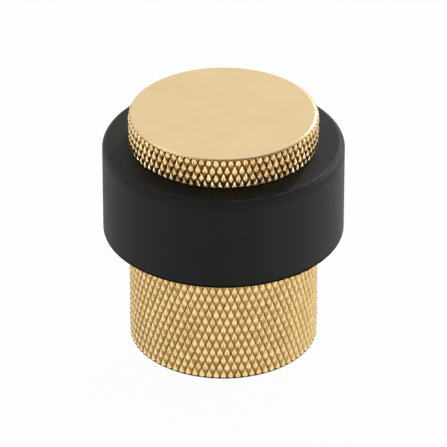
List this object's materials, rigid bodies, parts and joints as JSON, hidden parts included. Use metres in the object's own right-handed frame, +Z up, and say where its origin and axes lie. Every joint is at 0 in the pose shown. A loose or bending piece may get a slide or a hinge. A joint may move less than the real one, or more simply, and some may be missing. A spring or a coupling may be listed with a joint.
{
  "type": "floor door stop",
  "caption": "Cylindrical floor door stop: knurled brass base and cap clamping a wider black rubber ring that a door meets, with a hidden screw fixing through the base.",
  "frame": {"origin": "middle of the underside, where the stop's axis meets the floor", "axes": "+Z up the stop's axis; the part is the same all round, so X and Y point any way along the floor"},
  "size_m": [0.038, 0.038, 0.04],
  "materials": {
    "brass": "satin, turned on the flat top, knurled round the sides",
    "rubber": "moulded, satin"
  },
  "bodies": {
    "root": {"base": "brass", "rubber_ring": "rubber", "cap": "brass"}
  },
  "joints": []
}
